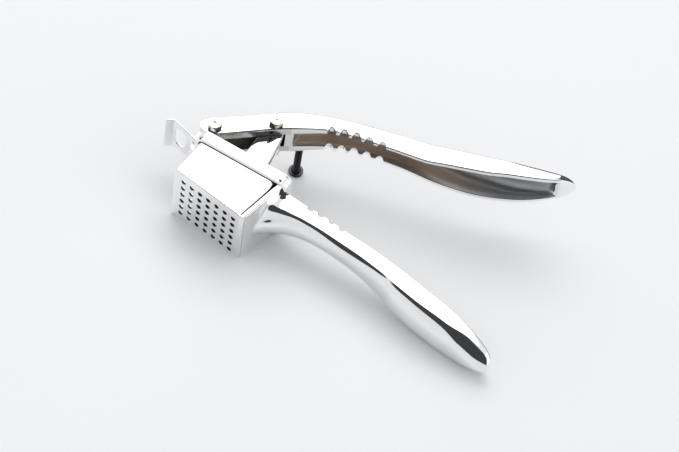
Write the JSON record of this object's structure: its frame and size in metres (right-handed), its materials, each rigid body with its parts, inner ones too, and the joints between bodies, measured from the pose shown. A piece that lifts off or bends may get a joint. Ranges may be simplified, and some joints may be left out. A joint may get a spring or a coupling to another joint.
{
  "type": "garlic press",
  "caption": "Hinged garlic press with a lift-out sieve box, a pivoting plunger and two channelled levers with notched jaws for cracking nuts.",
  "frame": {"origin": "centre of the bounding box in X and Y, on the plane of the side screw's head that the press stands on", "axes": "+X from the hinge towards the handle tips along the sieve's long side, +Y out of the sieve's mouth, +Z along the hinge pins, up as the press lies"},
  "size_m": [0.2111, 0.1452, 0.0564],
  "materials": {
    "chrome": "polished chrome plate over a zinc casting",
    "sieve_steel": "bright sheet steel",
    "nickel": "warm nickel plate",
    "black_screw": "black oxide with a thin oil film"
  },
  "bodies": {
    "cup": {"cup_lever": "chrome", "sieve_insert": "sieve_steel"},
    "press": {"press_lever": "chrome", "hinge_bolt": "nickel", "hinge_washer": "nickel", "hinge_nut": "nickel", "plunger_bolt": "nickel", "plunger_washer": "nickel", "plunger_nut": "nickel", "side_screw": "black_screw"},
    "plunger": {"plunger": "chrome"}
  },
  "joints": [
    {"name": "press_hinge", "type": "hinge", "parent": "cup", "child": "press", "pos_m": [-0.0849, -0.0328, 0.0344], "axis": [0, 0, 1], "range_deg": [-32, 55]},
    {"name": "plunger_pivot", "type": "hinge", "parent": "press", "child": "plunger", "pos_m": [-0.0628, -0.0091, 0.0344], "axis": [0, 0, 1], "range_deg": [-28, 16.5]}
  ],
  "couplings": [
    {"joint": "plunger_pivot", "follows": "press_hinge", "ratio": -0.5}
  ]
}
